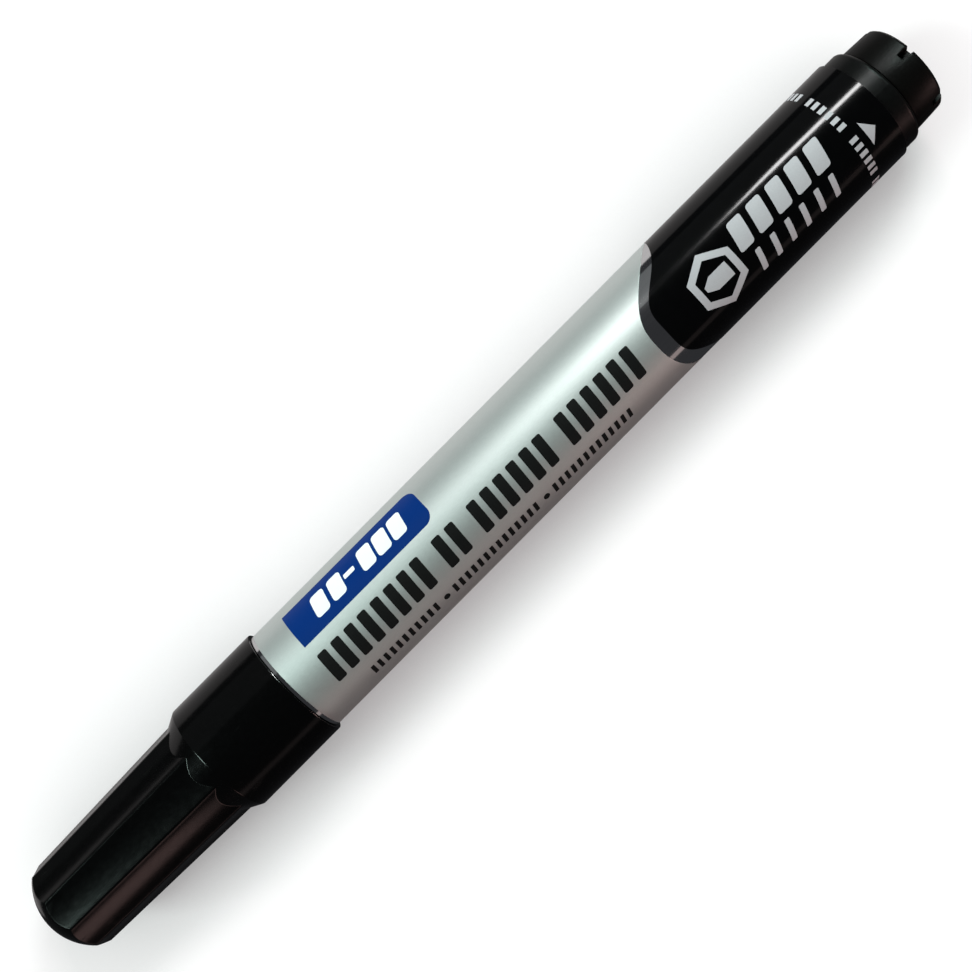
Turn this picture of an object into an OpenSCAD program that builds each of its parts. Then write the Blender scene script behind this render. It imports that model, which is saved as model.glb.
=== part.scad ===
// Refillable whiteboard marker with a round barrel, a fluted pull-off cap and a refill plug.
// It lies on its side along X: cap to -X, refill plug to +X, printed face to +Z.
// Every piece is drawn about the Z axis, Z being its distance from the cap's tip, and laid down by lay(),
// which turns the drawn +X side up and the drawn +Y side to -Y.

/* [Barrel] */
// Outside diameter of the metal sleeve
barrel_d = 14; // [13.2:0.1:20]
// Length of the metal sleeve
barrel_len = 92.4; // [70:0.1:130]
// Wall of the metal sleeve
sleeve_wall = 0.3; // [0.2:0.05:0.5]
// Wall of the plastic tube inside the sleeve
tube_wall = 0.9; // [0.6:0.05:1.2]
// How far the plastic tube stands out of the sleeve's rear end
tail_len = 2.6; // [1.5:0.1:5]
// Radius of the rounded shoulder at the tube's rear end
tail_round = 0.6; // [0.2:0.05:0.8]

/* [Front section] */
// Step from the plastic tube's outside down to the land that the cap grips
land_step = 0.4; // [0.3:0.05:1.5]
// Length of the land that the cap grips
land_len = 6.5; // [3:0.1:9]
// Length of the cone between the land and the nose
cone_len = 8.5; // [4:0.1:12]
// Outside diameter of the nose that holds the nib
nose_d = 7.6; // [6.8:0.1:8.6]
// Length of the nose
nose_len = 6; // [4:0.1:10]
// Depth of the front section inside the plastic tube
spigot_len = 12; // [8:0.1:20]
// Wall of the front section
front_wall = 1.2; // [0.8:0.05:1.6]
// Number of air channels along the nib's bore
vent_count = 4; // [2:1:6]
// Width of an air channel
vent_w = 0.7; // [0.4:0.05:1]
// Depth of an air channel
vent_depth = 0.5; // [0.3:0.05:0.6]

/* [Nib and ink] */
// Diameter of the bullet nib
nib_d = 4.8; // [3:0.1:5]
// How far the nib stands out of the nose
nib_reach = 5.5; // [4:0.1:8]
// Depth of the nib in the ink fibre
nib_sink = 5; // [2:0.1:8]
// Room left between the ink fibre and the refill plug
fibre_room = 14; // [6:0.5:30]
// Thickness of the film around the ink fibre
film_wall = 0.15; // [0.1:0.05:0.3]
// Gap between the film and the plastic tube
film_gap = 0.3; // [0.1:0.05:0.6]

/* [Cap] */
// Length of the whole cap
cap_len = 39.4; // [36:0.1:50]
// How far the cap's round collar stands proud of the barrel
collar_proud = 0.45; // [0.2:0.05:2]
// Length of the round collar
collar_len = 12.2; // [9:0.1:15]
// Length of the chamfer between the flutes and the collar
shoulder_len = 2.2; // [1.5:0.1:3]
// Number of flutes
flute_count = 9; // [7:1:12]
// Wall of the cap at the bottom of a flute, at the tip
grip_wall = 0.75; // [0.6:0.05:1.2]
// How much further out the flutes lie at the collar than at the tip
grip_flare = 0.6; // [0.2:0.05:0.9]
// Radius of the hollow of a flute
flute_hollow_r = 9; // [7:0.5:20]
// Width left on the crest of a ridge
crest_land = 0.35; // [0.2:0.05:0.6]
// Turn of the first flute from the printed face, towards +Y
flute_turn = 2.5; // [-20:0.5:20]
// Height of the domed end
dome_h = 3.1; // [2:0.1:4.5]
// Diameter of the disc let into the domed end
end_disc_d = 6.6; // [4:0.1:8]
// Thickness of the disc at its edge
end_disc_t = 1.2; // [0.8:0.1:1.4]
// Width of the fine groove around the disc
end_groove = 0.15; // [0.1:0.05:0.3]
// Rounding of the cap's rim
rim_round = 0.25; // [0.1:0.05:0.4]

/* [Cap liner] */
// Gap between the liner's wall and the nose
liner_gap = 0.3; // [0.2:0.05:0.6]
// Wall of the liner
liner_wall = 0.7; // [0.5:0.05:0.8]
// Thickness of the liner's closed end
liner_floor = 1.2; // [0.8:0.1:2]
// Distance from the cap's tip to the liner's closed end
liner_start = 4.6; // [4:0.1:6]
// Length of the sealing lip at the liner's mouth
lip_len = 1.6; // [0.8:0.1:2.5]
// Gap between the lip and the cone behind the nose
lip_gap = 0.3; // [0.1:0.05:0.8]

/* [Refill plug] */
// How much the plug's head narrows towards its outer end, on the radius
head_taper = 0.2; // [0:0.05:0.4]
// Length of the plug's head
head_len = 4.55; // [3.8:0.05:8]
// Rounding of the head's outer edge
head_round = 0.35; // [0.1:0.05:0.6]
// Depth of the hollow in the head
head_hollow = 3.3; // [2:0.1:3.5]
// Wall of the head around its hollow
head_wall = 2.2; // [2:0.05:2.8]
// Depth of the plug's spigot in the tube
plug_depth = 11; // [6:0.1:14]
// Wall of the plug's spigot
plug_wall = 1; // [0.7:0.05:1.4]
// Number of slots in the head's rim
slot_count = 5; // [3:1:8]
// Width of a slot
slot_w = 0.8; // [0.6:0.05:2]
// Depth of a slot along the plug
slot_depth = 1.7; // [1:0.05:2.5]
// Depth of a slot into the rim
slot_reach = 1.4; // [1:0.05:1.6]
// Turn of the first slot from the printed face, towards +Y
slot_turn = 10.5; // [-36:0.5:36]

/* [Fits] */
// Radial clearance of the cap on its land and of the liner's lip on the nose
cap_clearance = 0.07; // [0.03:0.01:0.1]
// Radial clearance of the plug's spigot in the tube
plug_clearance = 0.08; // [0.04:0.01:0.1]
// Radial clearance left by the beads on the land and on the spigot
bead_clearance = 0.03; // [0.01:0.01:0.03]
// Width of a bead
bead_w = 0.8; // [0.4:0.05:1.2]
// Gap between the cap's rim and the barrel
cap_gap = 0.1; // [0.05:0.01:0.3]
// Gap between the plug's head and the tube
head_gap = 0.05; // [0.02:0.01:0.2]

/* [Hidden] */
$fn = 96;
// Overlap of joined solids, and how far a cutter runs past what it cuts.
eps = 0.01;
over = 1;
land_chamfer = 0.4;
// Half the length over which the cap's cavity widens from the liner to the land.
bore_blend = 1;
// Places of the plug's two beads, as shares of its depth.
bead_places = [0.3, 0.6];
barrel_r = barrel_d / 2;
tube_r = barrel_r - sleeve_wall;
bore_r = tube_r - tube_wall;
collar_r = barrel_r + collar_proud;
land_r = tube_r - land_step;
front_bore_r = min(land_r, bore_r) - front_wall;
nose_r = nose_d / 2;
nib_r = nib_d / 2;
liner_bore_r = nose_r + liner_gap;
liner_r = liner_bore_r + liner_wall;
head_r = tube_r - tail_round;
head_end_r = head_r - head_taper;

// Stations along the marker, measured from the cap's tip.
barrel_start = cap_len + cap_gap;
barrel_end = barrel_start + barrel_len;
tube_end = barrel_end + tail_len;
plug_start = tube_end + head_gap;
total_len = plug_start + head_len;
land_start = barrel_start - land_len;
cone_start = land_start - cone_len;
nose_start = cone_start - nose_len;
nib_tip = nose_start - nib_reach;
spigot_end = barrel_start + spigot_len;
collar_start = cap_len - collar_len;
shoulder_start = collar_start - shoulder_len;
fibre_end = tube_end - plug_depth - fibre_room;
film_r = bore_r - film_gap;
fibre_r = film_r - film_wall;

// The flutes are cut by cylinders of one radius. Two neighbours would meet in a sharp ridge, and the
// round blank is turned down just enough to leave a narrow crest there.
half_pitch = 180 / flute_count;
function sharp_ridge(flute_r) = (flute_r + flute_hollow_r) * cos(half_pitch)
    - sqrt(pow(flute_hollow_r, 2) - pow((flute_r + flute_hollow_r) * sin(half_pitch), 2));
function crest(flute_r) = sharp_ridge(flute_r) - crest_land / 2 * tan(half_pitch);
tip_flute_r = liner_r + grip_wall;
root_flute_r = tip_flute_r + grip_flare;
tip_ridge_r = crest(tip_flute_r);
root_ridge_r = crest(root_flute_r);
ridge_slope = (root_ridge_r - tip_ridge_r) / (shoulder_start - dome_h);
apex_ridge_r = tip_ridge_r - dome_h * ridge_slope;
shoulder_lap = 0.15;
shoulder_foot_r = root_flute_r + shoulder_lap;

// The domed end and the disc let into it.
dome_r = (pow(tip_ridge_r, 2) + pow(dome_h, 2)) / (2 * dome_h);
disc_edge = dome_r - sqrt(pow(dome_r, 2) - pow(end_disc_d / 2, 2));
disc_floor = disc_edge + end_disc_t;

// Lays a piece drawn about Z down along X.
module lay() {
    translate([-total_len / 2, 0, collar_r])
        rotate([0, 90, 0])
            rotate([0, 0, 180])
                children();
}

// A plain round bar between two stations.
module bar(from, to, r) {
    translate([0, 0, from])
        cylinder(h = to - from, r = r);
}

// A tapered round bar between two stations.
module taper(from, to, r_from, r_to) {
    translate([0, 0, from])
        cylinder(h = to - from, r1 = r_from, r2 = r_to);
}

// A low round bead about a bar of radius r.
module bead(middle, r, rise) {
    foot = bead_w / 2;
    crown = bead_w / 5;
    rotate_extrude()
        polygon([[r - over, middle - foot], [r, middle - foot], [r + rise, middle - crown],
                 [r + rise, middle + crown], [r, middle + foot], [r - over, middle + foot]]);
}

// Thin bright metal tube, the outside of the barrel.
module barrel_sleeve() {
    color("silver")
        lay()
            difference() {
                bar(barrel_start, barrel_end, barrel_r);
                bar(barrel_start - over, barrel_end + over, tube_r);
            }
}

// Plastic tube inside the sleeve, with a rounded shoulder behind it.
module inner_barrel() {
    color([0.03, 0.03, 0.035])
        lay()
            rotate_extrude()
                difference() {
                    union() {
                        translate([bore_r, barrel_start])
                            square([tube_wall, tube_end - tail_round - barrel_start]);
                        translate([bore_r, tube_end - 2 * tail_round])
                            square([tube_wall - tail_round, 2 * tail_round]);
                        translate([tube_r - tail_round, tube_end - tail_round])
                            circle(r = tail_round);
                    }
                    translate([0, barrel_start - over])
                        square([bore_r, tube_end + 2 * over - barrel_start]);
                }
}

// Plastic nose that holds the nib and plugs the front of the tube.
module front_section() {
    color([0.05, 0.05, 0.055])
        lay()
            difference() {
                union() {
                    bar(nose_start, cone_start, nose_r);
                    taper(cone_start, land_start, nose_r, land_r - land_chamfer);
                    bar(land_start, barrel_start, land_r);
                    bar(barrel_start, spigot_end, bore_r);
                    bead(land_start + 2 * bead_w, land_r, cap_clearance - bead_clearance);
                }
                bar(nose_start - over, land_start, nib_r);
                taper(cone_start + front_wall, land_start, nib_r, front_bore_r);
                bar(land_start - eps, spigot_end + over, front_bore_r);
                for (turn = [0 : 360 / vent_count : 359])
                    rotate([0, 0, turn])
                        translate([0, -vent_w / 2, nose_start - over])
                            cube([nib_r + vent_depth, vent_w, nose_len + front_wall + 2 * over]);
            }
}

// Bullet nib of bonded fibre, from the writing tip back into the ink fibre.
module nib() {
    color([0.04, 0.04, 0.05])
        lay()
            union() {
                bar(nib_tip + nib_r, spigot_end + nib_sink, nib_r);
                translate([0, 0, nib_tip + nib_r])
                    sphere(r = nib_r);
            }
}

// Soft bundle of fibre that holds the ink.
module ink_fibre() {
    color([0.12, 0.12, 0.14])
        lay()
            difference() {
                bar(spigot_end, fibre_end, fibre_r);
                bar(spigot_end - over, spigot_end + nib_sink, nib_r);
            }
}

// Clear film wrapped around the ink fibre.
module fibre_wrap() {
    color([0.75, 0.78, 0.8, 0.6])
        lay()
            difference() {
                bar(spigot_end, fibre_end, film_r);
                bar(spigot_end - over, fibre_end + over, fibre_r);
            }
}

// One cutter for each flute, tilted to follow the taper of the ridges.
module flute_cutters() {
    run = shoulder_start - dome_h;
    tilt = atan(grip_flare / run);
    for (i = [0 : flute_count - 1])
        rotate([0, 0, i * 2 * half_pitch - flute_turn])
            translate([tip_flute_r + flute_hollow_r, 0, dome_h])
                rotate([0, tilt, 0])
                    translate([0, 0, -dome_h - 2 * over])
                        cylinder(h = (run + shoulder_len) / cos(tilt) + dome_h + over, r = flute_hollow_r);
}

// Fluted grip of the cap, with its domed end.
module cap_grip() {
    intersection() {
        difference() {
            taper(0, collar_start, apex_ridge_r, apex_ridge_r + collar_start * ridge_slope);
            flute_cutters();
        }
        union() {
            translate([0, 0, dome_r])
                sphere(r = dome_r);
            bar(dome_r, collar_start + over, collar_r);
        }
    }
}

// Moulded cap: fluted grip, chamfered shoulder and round collar.
module cap_shell() {
    grip_bore = land_r + cap_clearance;
    color([0.02, 0.02, 0.025])
        lay()
            difference() {
                union() {
                    cap_grip();
                    taper(shoulder_start, collar_start, shoulder_foot_r, collar_r);
                    rotate_extrude()
                        union() {
                            translate([0, collar_start])
                                square([collar_r, collar_len - rim_round]);
                            translate([0, cap_len - 2 * rim_round])
                                square([collar_r - rim_round, 2 * rim_round]);
                            translate([collar_r - rim_round, cap_len - rim_round])
                                circle(r = rim_round);
                        }
                }
                rotate_extrude()
                    polygon([[0, liner_start], [liner_r, liner_start], [liner_r, collar_start - bore_blend],
                             [grip_bore, collar_start + bore_blend], [grip_bore, cap_len + over],
                             [0, cap_len + over]]);
                bar(-over, disc_floor, end_disc_d / 2 + end_groove);
            }
}

// Smooth disc that closes the middle of the domed end.
module cap_end_disc() {
    color([0.03, 0.03, 0.035])
        lay()
            intersection() {
                bar(-over, disc_floor, end_disc_d / 2);
                translate([0, 0, dome_r])
                    sphere(r = dome_r);
            }
}

// Softer cup inside the cap, whose lip seals on the nose and keeps the nib wet.
module cap_liner() {
    mouth = cone_start - lip_gap;
    color([0.85, 0.85, 0.82])
        lay()
            difference() {
                bar(liner_start, mouth, liner_r);
                bar(liner_start + liner_floor, mouth - lip_len, liner_bore_r);
                bar(mouth - lip_len - eps, mouth + over, nose_r + cap_clearance);
            }
}

// Pull-out plug with a slotted rim, which opens the barrel for refilling.
module refill_plug() {
    spigot_r = bore_r - plug_clearance;
    hollow_r = head_end_r - head_wall;
    color([0.04, 0.04, 0.045])
        lay()
            difference() {
                union() {
                    bar(tube_end - plug_depth, plug_start + over, spigot_r);
                    for (share = bead_places)
                        bead(tube_end - share * plug_depth, spigot_r, plug_clearance - bead_clearance);
                    rotate_extrude()
                        head_outline();
                }
                bar(tube_end - plug_depth - over, tube_end - plug_wall, spigot_r - plug_wall);
                bar(total_len - head_hollow, total_len + over, hollow_r);
                for (i = [0 : slot_count - 1])
                    rotate([0, 0, i * 360 / slot_count - slot_turn])
                        translate([head_end_r - slot_reach, -slot_w / 2, total_len - slot_depth])
                            cube([head_r, slot_w, slot_depth + over]);
            }
}

// Half outline of the plug's head, with a rounded outer edge.
module head_outline() {
    union() {
        polygon([[0, plug_start], [head_r, plug_start], [head_end_r, total_len - head_round],
                 [0, total_len - head_round]]);
        translate([0, total_len - 2 * head_round])
            square([head_end_r - head_round, 2 * head_round]);
        translate([head_end_r - head_round, total_len - head_round])
            circle(r = head_round);
    }
}

barrel_sleeve();
inner_barrel();
front_section();
nib();
ink_fibre();
fibre_wrap();
cap_shell();
cap_end_disc();
cap_liner();
refill_plug();
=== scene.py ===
"""Refillable whiteboard marker: its printed coats, fluted cap and refill plug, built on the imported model."""
import math
import bmesh
import bpy
from mathutils import Matrix, Vector


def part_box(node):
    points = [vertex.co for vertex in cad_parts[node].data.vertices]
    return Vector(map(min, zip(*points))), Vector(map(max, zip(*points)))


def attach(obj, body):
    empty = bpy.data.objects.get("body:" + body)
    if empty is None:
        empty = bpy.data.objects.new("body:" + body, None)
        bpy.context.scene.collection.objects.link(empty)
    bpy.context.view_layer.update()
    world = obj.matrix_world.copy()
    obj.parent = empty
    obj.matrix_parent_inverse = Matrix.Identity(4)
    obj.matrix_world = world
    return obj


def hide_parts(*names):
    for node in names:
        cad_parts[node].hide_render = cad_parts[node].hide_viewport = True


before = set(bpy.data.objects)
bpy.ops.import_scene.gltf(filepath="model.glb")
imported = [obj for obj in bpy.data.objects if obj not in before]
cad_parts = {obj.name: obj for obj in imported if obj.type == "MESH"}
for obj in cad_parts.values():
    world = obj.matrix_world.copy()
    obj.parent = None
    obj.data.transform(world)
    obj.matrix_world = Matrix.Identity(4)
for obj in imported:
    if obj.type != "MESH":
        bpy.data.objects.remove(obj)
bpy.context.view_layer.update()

# Camera. It looks straight down on the printed face, with the marker running from low on the left to
# high on the right. A station is a distance in millimetres from the cap's tip, along the marker. A turn is
# in degrees about its axis, from the printed face at the top towards +Y. Places closer together than near
# count as the same one, and points closer than weld are merged.
MM = 0.001
near = 0.01 * MM
weld = 0.002 * MM
sleeve_low, sleeve_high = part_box("barrel_sleeve")
tip_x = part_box("cap_end_disc")[0][0]
axis_z = (sleeve_low[2] + sleeve_high[2]) / 2


def along(station):
    """The X of a station, in metres."""
    return tip_x + station * MM


def around(station, turn, radius):
    """The point at a station, a turn and a radius from the marker's axis, in metres."""
    angle = math.radians(turn)
    return Vector((along(station), radius * MM * math.sin(angle), axis_z + radius * MM * math.cos(angle)))


camera_height = 186.6
camera_station = 70.9
aim_side = 0.22
marker_slope = 45.18
eye = around(camera_station, 0, camera_height)
aim = around(camera_station, 90, aim_side)
back = (eye - aim).normalized()
marker_way = Vector((1, 0, 0)).cross(back).cross(back).normalized() * -1
side_way = back.cross(marker_way)
slope = math.radians(marker_slope)
right = marker_way * math.cos(slope) - side_way * math.sin(slope)
up = marker_way * math.sin(slope) + side_way * math.cos(slope)
bpy.ops.object.camera_add(location=eye)
camera = bpy.context.object
camera.name = "camera"
camera.rotation_euler = Matrix((right, up, back)).transposed().to_euler()
camera.data.lens = 60
camera.data.clip_start = 0.005
bpy.context.scene.camera = camera
bpy.context.scene.view_settings.view_transform = "Standard"


# Floor and lights. A plain white floor that glows a little, less so beside the marker, where ambient occlusion
# dims the glow into a painted shadow round it. Two cool softboxes beyond the marker's ends, two dim warm ones
# lower down, panels at both sides and a thin strip. The floor is left out of reflections. A card below it,
# seen only in them, gives the soft band on the upper side.
floor_size = 6
floor_colour = (0.45, 0.39, 0.405, 1)
floor_glow = 0.70
shade_reach = 16 * MM
bpy.ops.mesh.primitive_plane_add(size=floor_size, location=(0, 0, 0))
floor = bpy.context.object
floor.name = "floor"
floor.visible_glossy = False
floor_paint = bpy.data.materials.new("floor_paint")
floor_paint.use_nodes = True
floor_tree = floor_paint.node_tree
floor_shader = floor_tree.nodes["Principled BSDF"]
floor_shader.inputs["Base Color"].default_value = floor_colour
floor_shader.inputs["Roughness"].default_value = 0.9
floor_shader.inputs["Emission Strength"].default_value = floor_glow
# Painted shadow: the floor's glow takes its colour from ambient occlusion, so the floor is darker near the
# marker.
painted_shadow_nearness = floor_tree.nodes.new("ShaderNodeAmbientOcclusion")
painted_shadow_nearness.inputs["Distance"].default_value = shade_reach
floor_tree.links.new(painted_shadow_nearness.outputs["Color"], floor_shader.inputs["Emission Color"])
floor.data.materials.append(floor_paint)

room = bpy.data.worlds.new("room")
room.use_nodes = True
room.node_tree.nodes["Background"].inputs["Color"].default_value = (0.9, 0.92, 1, 1)
room.node_tree.nodes["Background"].inputs["Strength"].default_value = 0.03
bpy.context.scene.world = room


def add_panel(name, place, size, radiance, colour):
    """A flat soft light of that width and height in metres, facing the marker."""
    bpy.ops.object.light_add(type="AREA", location=place)
    lamp = bpy.context.object
    lamp.name = name
    lamp.data.shape = "RECTANGLE"
    lamp.data.size, lamp.data.size_y = size
    lamp.data.energy = radiance * math.pi * size[0] * size[1]
    lamp.data.color = colour
    lamp.rotation_euler = Vector(place).to_track_quat("Z", "Y").to_euler()


add_panel("softbox_plug_end", (0.95, 0.62, 0.82), (0.45, 0.4), 18, (0.76, 1.0, 0.93))
add_panel("softbox_cap_end", (-0.95, 0.40, 0.88), (0.45, 0.4), 21, (0.76, 1.0, 0.93))
add_panel("warm_plug_end", (0.7, -1.0, 0.16), (0.5, 0.3), 5, (1.0, 0.62, 0.58))
add_panel("warm_cap_end", (-0.7, -1.0, 0.16), (0.5, 0.3), 1.3, (1.0, 0.62, 0.58))
add_panel("side_panel", (0, 0.9, 0.55), (1.8, 1.0), 0.10, (0.95, 1.0, 1.0))
add_panel("low_card", (0, 0.36, -0.36), (1.8, 0.74), 0.45, (1.0, 0.96, 0.95))
add_panel("lower_panel", (0, -0.9, 0.16), (1.8, 0.16), 0.25, (1.0, 0.8, 0.76))
add_panel("strip", (0.30, 0.35, 0.49), (0.26, 0.06), 36, (1.0, 1.0, 1.0))


# Sleeve. Thin aluminium tube, drawn to size and polished. It shows bare at the cap's rim and in the
# crescent between the two coats. Its shape is the frame's own.
def new_group(name, inputs, outputs):
    """An empty shader node group with number or vector inputs and number outputs."""
    group = bpy.data.node_groups.new(name, "ShaderNodeTree")
    for label, kind in inputs:
        group.interface.new_socket(label, in_out="INPUT", socket_type="NodeSocket" + kind)
    for label, kind in outputs:
        group.interface.new_socket(label, in_out="OUTPUT", socket_type="NodeSocket" + kind)
    return group, group.nodes.new("NodeGroupInput"), group.nodes.new("NodeGroupOutput")


def add_math(tree, operation, first, second):
    """A Math node whose two inputs are sockets or plain numbers."""
    node = tree.nodes.new("ShaderNodeMath")
    node.operation = operation
    for slot, value in enumerate((first, second)):
        if isinstance(value, (int, float)):
            node.inputs[slot].default_value = value
        else:
            tree.links.new(value, node.inputs[slot])
    return node.outputs[0]


grain_group, grain_in, grain_out = new_group(
    "grain", [("Stretch", "Vector"), ("Middle", "Float"), ("Spread", "Float")],
    [("Height", "Float"), ("Value", "Float")])
grain_place = grain_group.nodes.new("ShaderNodeTexCoord")
grain_scale = grain_group.nodes.new("ShaderNodeVectorMath")
grain_scale.operation = "MULTIPLY"
grain_noise = grain_group.nodes.new("ShaderNodeTexNoise")
grain_noise.inputs["Scale"].default_value = 1
grain_noise.inputs["Detail"].default_value = 3
grain_group.links.new(grain_place.outputs["Object"], grain_scale.inputs[0])
grain_group.links.new(grain_in.outputs["Stretch"], grain_scale.inputs[1])
grain_group.links.new(grain_scale.outputs[0], grain_noise.inputs["Vector"])
grain_offset = add_math(grain_group, "SUBTRACT", grain_noise.outputs["Fac"], 0.5)
grain_swing = add_math(grain_group, "MULTIPLY", grain_offset, grain_in.outputs["Spread"])
grain_value = add_math(grain_group, "ADD", grain_swing, grain_in.outputs["Middle"])
grain_group.links.new(grain_value, grain_out.inputs["Value"])
grain_group.links.new(grain_noise.outputs["Fac"], grain_out.inputs["Height"])

scuff_group, scuff_in, scuff_out = new_group(
    "scuffs", [("Stretch", "Vector"), ("Amount", "Float")], [("Mask", "Float")])
scuff_place = scuff_group.nodes.new("ShaderNodeTexCoord")
scuff_scale = scuff_group.nodes.new("ShaderNodeVectorMath")
scuff_scale.operation = "MULTIPLY"
scuff_noise = scuff_group.nodes.new("ShaderNodeTexNoise")
scuff_noise.inputs["Scale"].default_value = 1
scuff_noise.inputs["Detail"].default_value = 2
scuff_edge = scuff_group.nodes.new("ShaderNodeMapRange")
scuff_edge.inputs["From Min"].default_value = 0.66
scuff_edge.inputs["From Max"].default_value = 0.74
scuff_group.links.new(scuff_place.outputs["Object"], scuff_scale.inputs[0])
scuff_group.links.new(scuff_in.outputs["Stretch"], scuff_scale.inputs[1])
scuff_group.links.new(scuff_scale.outputs[0], scuff_noise.inputs["Vector"])
scuff_group.links.new(scuff_noise.outputs["Fac"], scuff_edge.inputs["Value"])
scuff_mask = add_math(scuff_group, "MULTIPLY", scuff_edge.outputs[0], scuff_in.outputs["Amount"])
scuff_group.links.new(scuff_mask, scuff_out.inputs["Mask"])


scuff_stretch = (260, 900, 900)
grain_depth = 0.05


def make_finish(name, colour, second_colour, metallic, roughness, spread, grain, bump, scuff=0.0, shine=0.5):
    """A finish whose colour, roughness and surface vary with a grain, given per metre along each axis."""
    finish = bpy.data.materials.new(name)
    finish.use_nodes = True
    tree = finish.node_tree
    shader = tree.nodes["Principled BSDF"]
    shader.inputs["Metallic"].default_value = metallic
    shader.inputs["Specular IOR Level"].default_value = shine
    texture = tree.nodes.new("ShaderNodeGroup")
    texture.node_tree = grain_group
    texture.inputs["Stretch"].default_value = grain
    texture.inputs["Middle"].default_value = roughness
    texture.inputs["Spread"].default_value = spread
    marks = tree.nodes.new("ShaderNodeGroup")
    marks.node_tree = scuff_group
    marks.inputs["Stretch"].default_value = scuff_stretch
    marks.inputs["Amount"].default_value = scuff
    tint = tree.nodes.new("ShaderNodeMix")
    tint.data_type = "RGBA"
    tint.inputs["A"].default_value = (*colour, 1)
    tint.inputs["B"].default_value = (*second_colour, 1)
    relief = tree.nodes.new("ShaderNodeBump")
    relief.inputs["Strength"].default_value = bump
    relief.inputs["Distance"].default_value = grain_depth * MM
    tree.links.new(texture.outputs["Height"], tint.inputs["Factor"])
    tree.links.new(tint.outputs["Result"], shader.inputs["Base Color"])
    worn = add_math(tree, "ADD", texture.outputs["Value"], marks.outputs["Mask"])
    tree.links.new(worn, shader.inputs["Roughness"])
    tree.links.new(texture.outputs["Height"], relief.inputs["Height"])
    tree.links.new(relief.outputs["Normal"], shader.inputs["Normal"])
    return finish


def finish_node(node, finish):
    """Gives a CAD node its finish."""
    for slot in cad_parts[node].material_slots:
        slot.material = finish


polished_metal = make_finish("polished_metal", (0.84, 0.85, 0.86), (0.93, 0.94, 0.95), 1.0, 0.10, 0.08,
                             (60, 5200, 5200), 0.05)
finish_node("barrel_sleeve", polished_metal)


# Silver coat. Satin lacquer rolled on to the sleeve from the cap's rim back, and cut to a curve in
# front of the rear coat. Flat work is drawn unrolled, X along the marker and Y around it, then rolled on.
barrel_r = (sleeve_high[2] - sleeve_low[2]) / 2 / MM
barrel_start = (sleeve_low[0] - tip_x) / MM
barrel_end = (sleeve_high[0] - tip_x) / MM


def start_flat(name, stations, turns, columns=1, rows=1):
    """A flat sheet between two stations and two turns, laid out unrolled at height 0."""
    bpy.ops.object.select_all(action="DESELECT")
    bpy.ops.mesh.primitive_grid_add(x_subdivisions=columns, y_subdivisions=rows, size=1)
    sheet = bpy.context.object
    sheet.name = name
    middle = (along(sum(stations) / 2), math.radians(sum(turns) / 2) * barrel_r * MM, 0)
    bpy.ops.transform.resize(value=((stations[1] - stations[0]) * MM,
                                    math.radians(turns[1] - turns[0]) * barrel_r * MM, 1))
    bpy.ops.transform.translate(value=middle)
    bpy.ops.object.transform_apply(location=True, rotation=True, scale=True)
    return sheet


def pick(piece, kind, wanted):
    """In edit mode, selects the points, edges or faces that pass the test."""
    bpy.ops.mesh.select_mode(type=kind)
    bpy.ops.mesh.select_all(action="DESELECT")
    net = bmesh.from_edit_mesh(piece.data)
    for part in {"VERT": net.verts, "EDGE": net.edges, "FACE": net.faces}[kind]:
        if wanted(part):
            part.select = True
    net.select_flush_mode()
    bmesh.update_edit_mesh(piece.data)


def shape_end(sheet, end_station, edge):
    """Moves each point on one end of a flat sheet to the station that edge(turn) gives."""
    bpy.ops.object.mode_set(mode="EDIT")
    ends = [point.index for point in sheet.data.vertices if abs(point.co.x - along(end_station)) < near]
    for index in ends:
        turn = math.degrees(sheet.data.vertices[index].co.y / (barrel_r * MM))
        seam = abs(turn) > 179
        pick(sheet, "VERT", lambda point: point.index == index)
        bpy.ops.transform.translate(value=((edge(180 if seam else turn) - end_station) * MM, 0, 0))
    bpy.ops.object.mode_set(mode="OBJECT")


def apply_modifier(piece, kind, **settings):
    """Adds a modifier with these settings and applies it."""
    bpy.ops.object.select_all(action="DESELECT")
    bpy.context.view_layer.objects.active = piece
    piece.select_set(True)
    modifier = piece.modifiers.new(kind.lower(), kind)
    for setting, value in settings.items():
        setattr(modifier, setting, value)
    bpy.ops.object.modifier_apply(modifier=modifier.name)


strip_turn = 3


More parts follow.
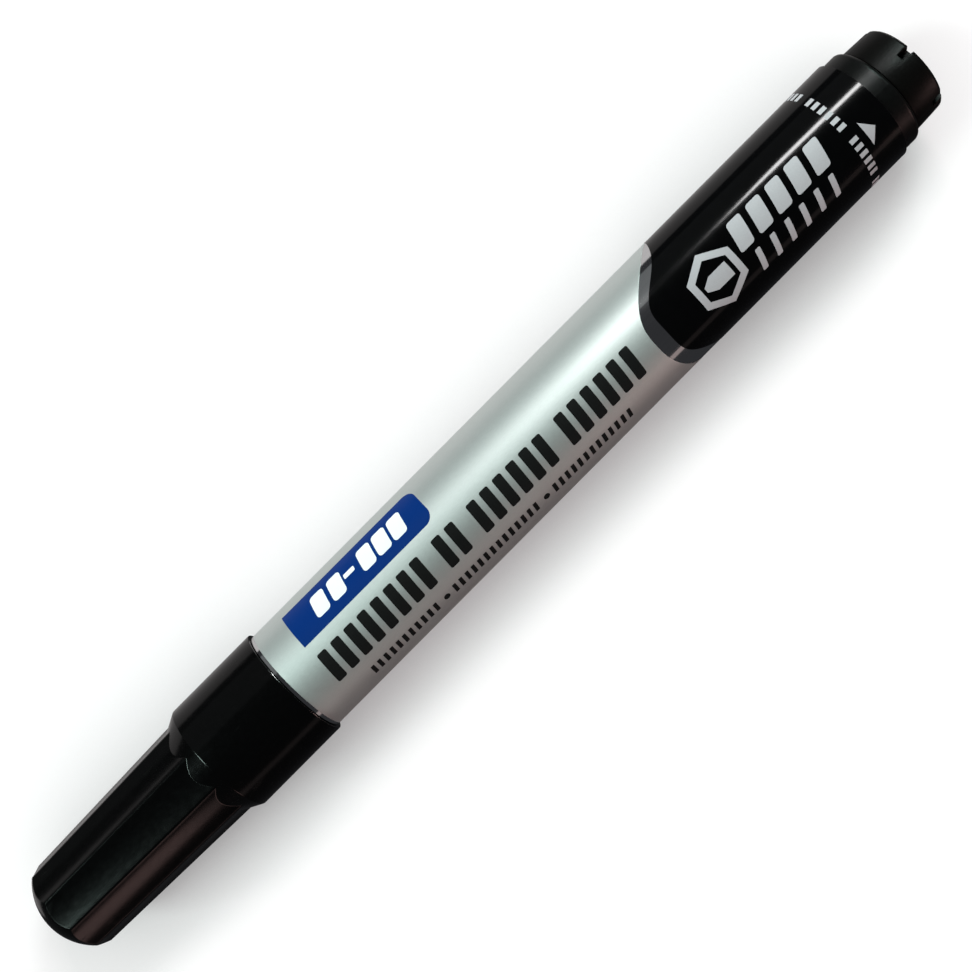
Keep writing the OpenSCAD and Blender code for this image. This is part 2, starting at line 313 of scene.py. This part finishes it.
def roll_on(sheet, radius, thickness):
    """Slices a flat sheet into strips, rolls it round the axis at that radius and thickens it outwards."""
    bpy.ops.object.select_all(action="DESELECT")
    bpy.context.view_layer.objects.active = sheet
    sheet.select_set(True)
    strip = math.radians(strip_turn) * barrel_r * MM
    reach = [point.co.y for point in sheet.data.vertices]
    bpy.ops.object.mode_set(mode="EDIT")
    for step in range(math.ceil(min(reach) / strip + 0.01), math.ceil(max(reach) / strip - 0.01)):
        bpy.ops.mesh.select_all(action="SELECT")
        bpy.ops.mesh.bisect(plane_co=(0, step * strip, 0), plane_no=(0, 1, 0))
    bpy.ops.object.mode_set(mode="OBJECT")
    sheet.rotation_euler = (-math.pi / 2, 0, 0)
    bpy.ops.object.transform_apply(location=True, rotation=True, scale=True)
    heights = [point.co.z for point in sheet.data.vertices]
    apply_modifier(sheet, "SIMPLE_DEFORM", deform_method="BEND", deform_axis="X",
                   angle=-(max(heights) - min(heights)) / (barrel_r * MM))
    sheet.rotation_euler = (math.pi / 2, 0, 0)
    sheet.location = (0, 0, barrel_r * MM + axis_z)
    bpy.ops.object.transform_apply(location=True, rotation=True, scale=True)
    bpy.ops.object.mode_set(mode="EDIT")
    bpy.ops.mesh.select_all(action="SELECT")
    bpy.ops.mesh.remove_doubles(threshold=weld)
    bpy.ops.transform.resize(value=(1, radius / barrel_r, radius / barrel_r), center_override=(0, 0, axis_z))
    bpy.ops.object.mode_set(mode="OBJECT")
    apply_modifier(sheet, "SOLIDIFY", thickness=thickness * MM, offset=1)
    bpy.ops.object.shade_smooth_by_angle(angle=math.radians(30))


def bell(turn, middle, width, power):
    """1 at the middle turn, falling away on both sides."""
    return 1 / (1 + abs((turn - middle) / width) ** power)


silver_limit = 106.5
black_limit = 103.8


def black_edge(turn):
    """Station where the rear coat begins."""
    return black_limit - 6.6 * bell(turn, -15, 47 if turn > -15 else 56, 4)


def silver_edge(turn):
    """Station where the silver coat ends."""
    if turn > -18:
        reach = 11.2 * bell(turn, -18, 70, 2.69)
    else:
        reach = 11.2 * bell(turn, -18, 96, 2.42)
    return min(silver_limit - reach, black_edge(turn) + 0.1)


bare_rim = 0.4
silver_coat_wall = 0.02
silver_coat = start_flat("silver_coat", (barrel_start + bare_rim, silver_limit), (-180, 180), 1, 120)
shape_end(silver_coat, silver_limit, silver_edge)
roll_on(silver_coat, barrel_r, silver_coat_wall)
satin_silver = make_finish("satin_silver", (0.72, 0.74, 0.73), (0.82, 0.84, 0.83), 0.86, 0.48, 0.10,
                           (2500, 9000, 9000), 0.04)
silver_coat.data.materials.append(satin_silver)
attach(silver_coat, "barrel")


# Rear coat. Gloss black lacquer from the crescent back to the end of the sleeve.
black_lift = 0.005
black_coat_wall = 0.025
black_coat = start_flat("rear_black_coat", (black_limit, barrel_end), (-180, 180), 1, 120)
shape_end(black_coat, black_limit, black_edge)
roll_on(black_coat, barrel_r + black_lift, black_coat_wall)
gloss_black = make_finish("gloss_black", (0.0008, 0.0008, 0.0009), (0.0016, 0.0016, 0.0018), 0.0, 0.11, 0.05,
                          (900, 900, 900), 0.02, shine=0.3)
black_coat.data.materials.append(gloss_black)
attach(black_coat, "barrel")


# Black print on the silver coat: a row of upright stripes in four groups, and a row of short strokes
# with a round dot between its groups. Both are screen printed.
def add_block(stations, turns, lean=0.0, corner=0.0):
    """A flat block whose upper edge leans towards the plug, with rounded corners."""
    block = start_flat("block", stations, turns)
    bpy.ops.object.mode_set(mode="EDIT")
    if lean:
        middle = math.radians(sum(turns) / 2) * barrel_r * MM
        pick(block, "VERT", lambda point: point.co.y > middle)
        bpy.ops.transform.translate(value=(lean * MM, 0, 0))
    if corner:
        bpy.ops.mesh.select_all(action="SELECT")
        bpy.ops.mesh.bevel(offset=corner * MM, segments=4, affect="VERTICES")
    bpy.ops.object.mode_set(mode="OBJECT")
    return block


def add_dot(station, turn, radius, sides=24):
    """A flat round dot, or a flat shape with fewer sides."""
    bpy.ops.object.select_all(action="DESELECT")
    bpy.ops.mesh.primitive_circle_add(vertices=sides, radius=radius * MM, fill_type="NGON",
                                      location=(along(station), math.radians(turn) * barrel_r * MM, 0))
    bpy.ops.object.transform_apply(location=True, rotation=True, scale=True)
    return bpy.context.object


def add_row(starts, width, turns, lean, corner):
    """Flat blocks of one width that begin at these stations."""
    return [add_block((start, start + width), turns, lean, corner) for start in starts]


def join_print(name, blocks, radius, ink):
    """Joins flat blocks into one print, rolls it on to the barrel and gives it its ink."""
    bpy.ops.object.select_all(action="DESELECT")
    for block in blocks:
        block.select_set(True)
    bpy.context.view_layer.objects.active = blocks[0]
    bpy.ops.object.join()
    sheet = bpy.context.object
    sheet.name = name
    roll_on(sheet, radius, print_wall)
    sheet.data.materials.append(ink)
    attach(sheet, "barrel")


print_wall = 0.012
on_silver = barrel_r + silver_coat_wall
on_black = barrel_r + black_lift + black_coat_wall
ink_grain = (6000, 6000, 6000)
black_ink = make_finish("black_ink", (0.005, 0.005, 0.005), (0.010, 0.010, 0.010), 0.0, 0.42, 0.16,
                        ink_grain, 0.10, shine=0.2)

stripes = []
stripe_groups = (8, 2, 6, 6)
stripe_width = 1.3
stripe_turns = (-31, 2)
stripe_pitch = 2.055
stripe_gap = 1.4
station = 43.9
for count in stripe_groups:
    starts = [station + place * stripe_pitch for place in range(count)]
    stripes += add_row(starts, stripe_width, stripe_turns, 0.35, 0.25)
    station += count * stripe_pitch + stripe_gap
join_print("stripe_row", stripes, on_silver, black_ink)

strokes = []
stroke_groups = (11, 14, 13)
stroke_width = 0.5
stroke_turns = (-57, -45)
stroke_pitch = 0.985
stroke_gap = 2.1
dot_reach = 1.0
dot_turn = -51
dot_r = 0.42
station = 47.2
for group, count in enumerate(stroke_groups):
    starts = [station + place * stroke_pitch for place in range(count)]
    strokes += add_row(starts, stroke_width, stroke_turns, 0.12, 0)
    station += count * stroke_pitch
    if group < len(stroke_groups) - 1:
        strokes.append(add_dot(station + dot_reach, dot_turn, dot_r))
        station += stroke_gap
join_print("stroke_row", strokes, on_silver, black_ink)


# Blue patch on the silver coat, with a row of white marks on it.
blue_ink = make_finish("blue_ink", (0.0, 0.022, 0.15), (0.0, 0.027, 0.17), 0.0, 0.36, 0.12,
                       ink_grain, 0.08, shine=0.15)
white_ink = make_finish("white_ink", (0.86, 0.87, 0.88), (0.92, 0.93, 0.94), 0.0, 0.42, 0.12,
                        ink_grain, 0.08)
patch_corner = 1.4
patch = start_flat("blue_patch", (44.0, 64.5), (15, 59))
bpy.ops.object.mode_set(mode="EDIT")
pick(patch, "VERT", lambda point: point.co.x > along(60))
bpy.ops.mesh.bevel(offset=patch_corner * MM, segments=8, affect="VERTICES")
bpy.ops.object.mode_set(mode="OBJECT")
join_print("blue_patch", [patch], on_silver, blue_ink)

marks = add_row((47.3, 49.9, 54.6, 57.0, 59.4), 2.0, (25, 49), 0.5, 0.45)
marks.append(add_block((52.4, 54.0), (35, 40), 0.1, 0.15))
join_print("patch_marks", marks, on_silver + print_wall, white_ink)


# Light print on the rear coat: a nut-shaped badge round a nib, two rows of marks, a dashed ring and an
# arrow head that points at the plug.
light_ink = make_finish("light_ink", (0.45, 0.41, 0.44), (0.53, 0.49, 0.52), 0.0, 0.5, 0.12,
                        ink_grain, 0.10)
badge_station = 105.4
badge_turn = -15.5
badge_r = 3.7
badge_sides = 6
badge_wall = 0.85
ring = add_dot(badge_station, badge_turn, badge_r, badge_sides)
bpy.ops.object.mode_set(mode="EDIT")
bpy.ops.mesh.select_all(action="SELECT")
bpy.ops.mesh.inset(thickness=badge_wall * MM)
bpy.ops.mesh.delete(type="FACE")
bpy.ops.object.mode_set(mode="OBJECT")
nib_mark = add_block((badge_station - 0.7, badge_station + 1.8), (badge_turn - 8, badge_turn + 8))
bpy.ops.object.mode_set(mode="EDIT")
pick(nib_mark, "EDGE", lambda edge: max(point.co.x for point in edge.verts) < along(badge_station - 0.6))
bpy.ops.mesh.extrude_edges_move(TRANSFORM_OT_translate={"value": (-1.2 * MM, 0, 0)})
nib_middle = (along(badge_station - 1.9), math.radians(badge_turn) * barrel_r * MM, 0)
bpy.ops.transform.resize(value=(1, 0.3, 1), center_override=nib_middle)
bpy.ops.object.mode_set(mode="OBJECT")
join_print("badge", [ring, nib_mark], on_black, light_ink)

block_starts = [109.2 + 3 * place for place in range(5)]
blocks = add_row(block_starts, 2.1, (-14.5, 14.5), 0.9, 0.35)
join_print("block_row", blocks, on_black, light_ink)

slim_starts = [110 + 2.3 * place for place in range(6)]
slim = add_row(slim_starts, 0.75, (-44, -21), 0.5, 0.15)
join_print("slim_row", slim, on_black, light_ink)

dash_places = 44
dash_gap_every = 7
dash_turn = 4.6
dash_starts = [place * 360 / dash_places - 180 for place in range(dash_places) if place % dash_gap_every]
dashes = [add_block((126.35, 127.45), (start, start + dash_turn)) for start in dash_starts]
join_print("dash_ring", dashes, on_black, light_ink)

arrow = add_block((128.4, 129.8), (-31.6, -4.7))
bpy.ops.object.mode_set(mode="EDIT")
pick(arrow, "VERT", lambda point: point.co.x > along(129))
bpy.ops.mesh.merge(type="CENTER")
bpy.ops.object.mode_set(mode="OBJECT")
join_print("arrow_head", [arrow], on_black, light_ink)


# Inner barrel, front section, nib, ink fibre and film. Moulded black plastic, bonded fibre and a clear
# wrap, all shaped by the frame.
tube_plastic = make_finish("tube_plastic", (0.002, 0.002, 0.002), (0.004, 0.004, 0.004), 0.0, 0.34, 0.14,
                           (2200, 2200, 2200), 0.10, 0.15, shine=0.15)
front_plastic = make_finish("front_plastic", (0.003, 0.003, 0.003), (0.006, 0.006, 0.006), 0.0, 0.38, 0.14,
                            (2600, 2600, 2600), 0.12, 0.12, shine=0.3)
nib_fibre = make_finish("nib_fibre", (0.003, 0.003, 0.004), (0.016, 0.016, 0.020), 0.0, 0.85, 0.2,
                        (500, 14000, 14000), 0.7, shine=0.2)
ink_felt = make_finish("ink_felt", (0.02, 0.02, 0.025), (0.10, 0.10, 0.12), 0.0, 0.9, 0.2,
                       (700, 9000, 9000), 0.9)
clear_film = make_finish("clear_film", (0.75, 0.78, 0.80), (0.85, 0.88, 0.90), 0.0, 0.12, 0.10,
                         (300, 600, 600), 0.4)
clear_film.node_tree.nodes["Principled BSDF"].inputs["Alpha"].default_value = 0.45
finish_node("inner_barrel", tube_plastic)
finish_node("front_section", front_plastic)
finish_node("nib", nib_fibre)
finish_node("ink_fibre", ink_felt)
finish_node("fibre_wrap", clear_film)


# Cap liner and end disc. A softer, waxy cup that seals on the nose, and the smooth disc in the dome.
liner_wax = make_finish("liner_wax", (0.74, 0.74, 0.70), (0.82, 0.82, 0.78), 0.0, 0.45, 0.12,
                        (1500, 1500, 1500), 0.15)
liner_wax.node_tree.nodes["Principled BSDF"].inputs["Subsurface Weight"].default_value = 0.15
liner_wax.node_tree.nodes["Principled BSDF"].inputs["Subsurface Scale"].default_value = 0.001
cap_plastic = make_finish("cap_plastic", (0.0008, 0.0008, 0.0008), (0.0016, 0.0015, 0.0016), 0.0, 0.16, 0.08,
                          (1300, 1800, 1800), 0.05, 0.12, shine=0.25)
finish_node("cap_liner", liner_wax)
finish_node("cap_end_disc", cap_plastic)


# Cap. One moulding in gloss black: nine hollow flutes round the grip, a sloped shoulder and a round
# collar that snaps over the front section. It is hollow behind the disc let into its domed tip.
cap_length = (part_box("cap_shell")[1][0] - tip_x) / MM
liner_low, liner_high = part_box("cap_liner")
liner_start = (liner_low[0] - tip_x) / MM
liner_r = (liner_high[2] - liner_low[2]) / 2 / MM
cap_bore_step = 0.63
cap_bore_r = barrel_r - cap_bore_step
bore_blend = 1
collar_r = axis_z / MM
flutes = 9
flute_turn = 2.5
flute_hollow_r = 9
tip_flute_r = 5.55
tip_ridge_r = 6.106
flute_swell = 1.108
grip_start = 3.3
grip_end = 24.5
shoulder_end = 27.2
shoulder_rise = 0.5227
dome_r = 7.56
disc_recess_r = 3.45
disc_recess_end = 1.956


def pull_ring(start, end):
    """Extrudes the selected ring from one (station, radius) to another."""
    bpy.ops.mesh.extrude_edges_move(TRANSFORM_OT_translate={"value": ((end[0] - start[0]) * MM, 0, 0)})
    ratio = end[1] / start[1]
    bpy.ops.transform.resize(value=(1, ratio, ratio), center_override=around(end[0], 0, 0))


def pull_profile(places):
    """Extrudes the selected ring through a list of (station, radius)."""
    for start, end in zip(places, places[1:]):
        pull_ring(start, end)


def on_plane(edge, station):
    """True if both ends of an edge lie at that station."""
    return all(abs(point.co.x - along(station)) < near for point in edge.verts)


def wall_r(part):
    """Distance in millimetres of a point from the axis."""
    return math.hypot(part.co.y, part.co.z - axis_z) / MM


def keep_group(piece, name):
    """Keeps the selected points as a named group."""
    bpy.ops.object.vertex_group_assign_new()
    piece.vertex_groups[-1].name = name


def press_on(piece, group, target):
    """Projects a group of points along the marker on to a target, which is then removed."""
    apply_modifier(piece, "SHRINKWRAP", target=target, vertex_group=group, wrap_method="PROJECT",
                   use_project_x=True, use_negative_direction=True, use_positive_direction=True)
    bpy.data.objects.remove(target)


def finish_turning(piece, rounding, sharp):
    """Rounds the edges of a closed piece and smooths its faces."""
    bpy.ops.object.mode_set(mode="EDIT")
    bpy.ops.mesh.select_all(action="SELECT")
    bpy.ops.mesh.remove_doubles(threshold=weld)
    bpy.ops.mesh.normals_make_consistent(inside=False)
    bpy.ops.object.mode_set(mode="OBJECT")
    apply_modifier(piece, "BEVEL", width=rounding * MM, segments=3, limit_method="ANGLE",
                   angle_limit=math.radians(sharp), harden_normals=False)
    bpy.ops.object.shade_smooth_by_angle(angle=math.radians(35))


# The outline of one flute is spun about the flute's own centre, and copied round the axis.
reach = tip_flute_r + flute_hollow_r
flute_centre = around(grip_start, flute_turn, reach)
hollow_cosine = (reach ** 2 + flute_hollow_r ** 2 - tip_ridge_r ** 2) / (2 * reach * flute_hollow_r)
hollow_angle = math.acos(hollow_cosine)
half_flute = math.asin(flute_hollow_r * math.sin(hollow_angle) / tip_ridge_r)
bpy.ops.object.select_all(action="DESELECT")
bpy.ops.mesh.primitive_plane_add(size=MM, location=(0, 0, 0))
cap = bpy.context.object
cap.name = "fluted_cap"
bpy.ops.object.mode_set(mode="EDIT")
bpy.ops.mesh.select_all(action="SELECT")
bpy.ops.mesh.merge(type="CENTER")
bpy.ops.transform.translate(value=around(grip_start, flute_turn - math.degrees(half_flute), tip_ridge_r))
bpy.ops.mesh.spin(steps=10, angle=2 * hollow_angle, center=flute_centre, axis=(-1, 0, 0))
bpy.ops.mesh.spin(steps=1, angle=2 * (math.pi / flutes - half_flute), center=around(0, 0, 0), axis=(1, 0, 0))
bpy.ops.mesh.select_all(action="SELECT")
bpy.ops.mesh.spin(steps=flutes, dupli=True, angle=2 * math.pi, center=around(0, 0, 0), axis=(1, 0, 0))
bpy.ops.mesh.select_all(action="SELECT")
bpy.ops.mesh.remove_doubles(threshold=weld)
bpy.ops.mesh.select_all(action="SELECT")
ring_points = len(bmesh.from_edit_mesh(cap.data).verts)
pull_ring((grip_start, 1), (grip_end, flute_swell))
keep_group(cap, "shoulder")
bpy.ops.mesh.primitive_circle_add(vertices=ring_points, radius=collar_r * MM,
                                  location=around(shoulder_end, 0, 0), rotation=(0, math.pi / 2, 0))
pick(cap, "EDGE", lambda edge: on_plane(edge, grip_end) or on_plane(edge, shoulder_end))
bpy.ops.mesh.bridge_edge_loops()
pick(cap, "EDGE", lambda edge: on_plane(edge, shoulder_end))
pull_profile([(shoulder_end, collar_r), (cap_length, collar_r), (cap_length, cap_bore_r),
              (shoulder_end + bore_blend, cap_bore_r), (shoulder_end - bore_blend, liner_r),
              (liner_start, liner_r)])
bpy.ops.mesh.edge_face_add()
bpy.ops.mesh.primitive_circle_add(vertices=ring_points, radius=disc_recess_r * MM,
                                  location=around(grip_start, 0, 0), rotation=(0, math.pi / 2, 0))
pick(cap, "EDGE", lambda edge: on_plane(edge, grip_start))
bpy.ops.mesh.bridge_edge_loops(number_cuts=5, interpolation="LINEAR")
pick(cap, "VERT", lambda point: point.co.x < along(grip_start + 1))
keep_group(cap, "dome")
bpy.ops.object.mode_set(mode="OBJECT")
bpy.ops.object.select_all(action="DESELECT")
bpy.ops.mesh.primitive_uv_sphere_add(segments=192, ring_count=96, radius=dome_r * MM,
                                     location=around(dome_r, 0, 0), rotation=(0, math.pi / 2, 0))
press_on(cap, "dome", bpy.context.object)
bpy.ops.object.select_all(action="DESELECT")
cone_reach = 2.5
cone_low_r = collar_r - (cone_reach + 1) * shoulder_rise
cone_high_r = collar_r + (cone_reach - 1) * shoulder_rise
bpy.ops.mesh.primitive_cone_add(vertices=192, radius1=cone_low_r * MM, radius2=cone_high_r * MM,
                                depth=2 * cone_reach * MM, location=around(shoulder_end - 1, 0, 0),
                                rotation=(0, math.pi / 2, 0))
press_on(cap, "shoulder", bpy.context.object)
bpy.ops.object.mode_set(mode="EDIT")
pick(cap, "EDGE", lambda edge: all(abs(wall_r(point) - disc_recess_r) < 0.02 for point in edge.verts))
bpy.ops.mesh.extrude_edges_move(TRANSFORM_OT_translate={"value": (1 * MM, 0, 0)})
bpy.ops.transform.resize(value=(0, 1, 1), center_override=around(disc_recess_end, 0, 0))
bpy.ops.mesh.edge_face_add()
bpy.ops.object.mode_set(mode="OBJECT")
finish_turning(cap, 0.06, 24)
cap.data.materials.append(cap_plastic)
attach(cap, "cap")
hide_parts("cap_shell")


# Refill plug. One matt black moulding: a short head with five blind slots in its rim, and a hollow
# spigot with two low beads that grip the inner barrel.
plug_low, plug_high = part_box("refill_plug")
head_end = (plug_high[0] - tip_x) / MM
spigot_start = (plug_low[0] - tip_x) / MM
head_r = (plug_high[2] - plug_low[2]) / 2 / MM
head_gap = 0.05
head_start = (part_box("inner_barrel")[1][0] - tip_x) / MM + head_gap
spigot_r = 5.72
spigot_bore_r = 4.72
spigot_floor = 1.05
bead_places = (0.3, 0.6)
bead_foot = 0.4
bead_crown = 0.16
bead_rise = 0.05
head_taper = 0.2
slot_floor = head_end - 1.7
slot_floor_r = head_r - 0.13
slot_reach_r = 4.5
head_hollow_r = 3.7
head_hollow_end = head_end - 3.3
rim_round = 0.4
slots = 5
slot_turn = 10.5
slot_half_turn = 4.5
plug_plastic = make_finish("plug_plastic", (0.0018, 0.0016, 0.0015), (0.0034, 0.0030, 0.0028), 0.0, 0.38,
                           0.14, (4200, 4200, 4200), 0.25, 0.1, shine=0.1)
bpy.ops.object.select_all(action="DESELECT")
bpy.ops.mesh.primitive_circle_add(vertices=120, radius=head_r * MM, location=around(head_start, 0, 0),
                                  rotation=(0, math.pi / 2, 0))
plug = bpy.context.object
plug.name = "slotted_plug"
bpy.ops.object.transform_apply(location=True, rotation=True, scale=True)
bpy.ops.object.mode_set(mode="EDIT")
bpy.ops.mesh.select_all(action="SELECT")
pull_profile([(head_start, head_r), (slot_floor, slot_floor_r), (slot_floor, slot_reach_r),
              (slot_floor, head_hollow_r), (head_hollow_end, head_hollow_r)])
bpy.ops.mesh.edge_face_add()
pick(plug, "EDGE", lambda edge: on_plane(edge, head_start))
bead_profile = [(head_start, head_r), (head_start, spigot_r)]
for bead in bead_places:
    middle = head_start - bead * (head_start - spigot_start)
    bead_profile += [(middle + bead_foot, spigot_r), (middle + bead_crown, spigot_r + bead_rise),
                     (middle - bead_crown, spigot_r + bead_rise), (middle - bead_foot, spigot_r)]
bead_profile += [(spigot_start, spigot_r), (spigot_start, spigot_bore_r),
                 (head_start - spigot_floor, spigot_bore_r)]
pull_profile(bead_profile)
bpy.ops.mesh.edge_face_add()


def in_rim(face):
    """True for a face of the rim's top that stands between the slots."""
    middle = face.calc_center_median()
    radius = math.hypot(middle.y, middle.z - axis_z) / MM
    if abs(middle.x - along(slot_floor)) > near or radius < head_hollow_r:
        return False
    turn = math.degrees(math.atan2(middle.y, middle.z - axis_z)) - slot_turn
    pitch = 360 / slots
    away = abs((turn + pitch / 2) % pitch - pitch / 2)
    return radius < slot_reach_r or away > slot_half_turn


pick(plug, "FACE", in_rim)
bpy.ops.mesh.extrude_region_move(TRANSFORM_OT_translate={"value": ((head_end - slot_floor) * MM, 0, 0)})
rim_r = head_r - head_taper
rim_taper = rim_r / slot_floor_r
bpy.ops.transform.resize(value=(1, rim_taper, rim_taper), center_override=around(head_end, 0, 0))
pick(plug, "VERT", lambda point: point.co.x > along(head_end - 0.1))
bpy.ops.transform.translate(value=(-rim_round * MM, 0, 0))
pick(plug, "FACE", lambda face: all(point.co.x > along(head_end - rim_round - 0.1) for point in face.verts))
bpy.ops.mesh.extrude_region_move(TRANSFORM_OT_translate={"value": (rim_round * MM, 0, 0)})
pick(plug, "VERT", lambda point: point.co.x > along(head_end - 0.1) and wall_r(point) > head_r - 1)
rim_taper = (rim_r - rim_round) / rim_r
bpy.ops.transform.resize(value=(1, rim_taper, rim_taper), center_override=around(head_end, 0, 0))
bpy.ops.object.mode_set(mode="OBJECT")
finish_turning(plug, 0.13, 40)
plug.data.materials.append(plug_plastic)
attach(plug, "plug")
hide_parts("refill_plug")
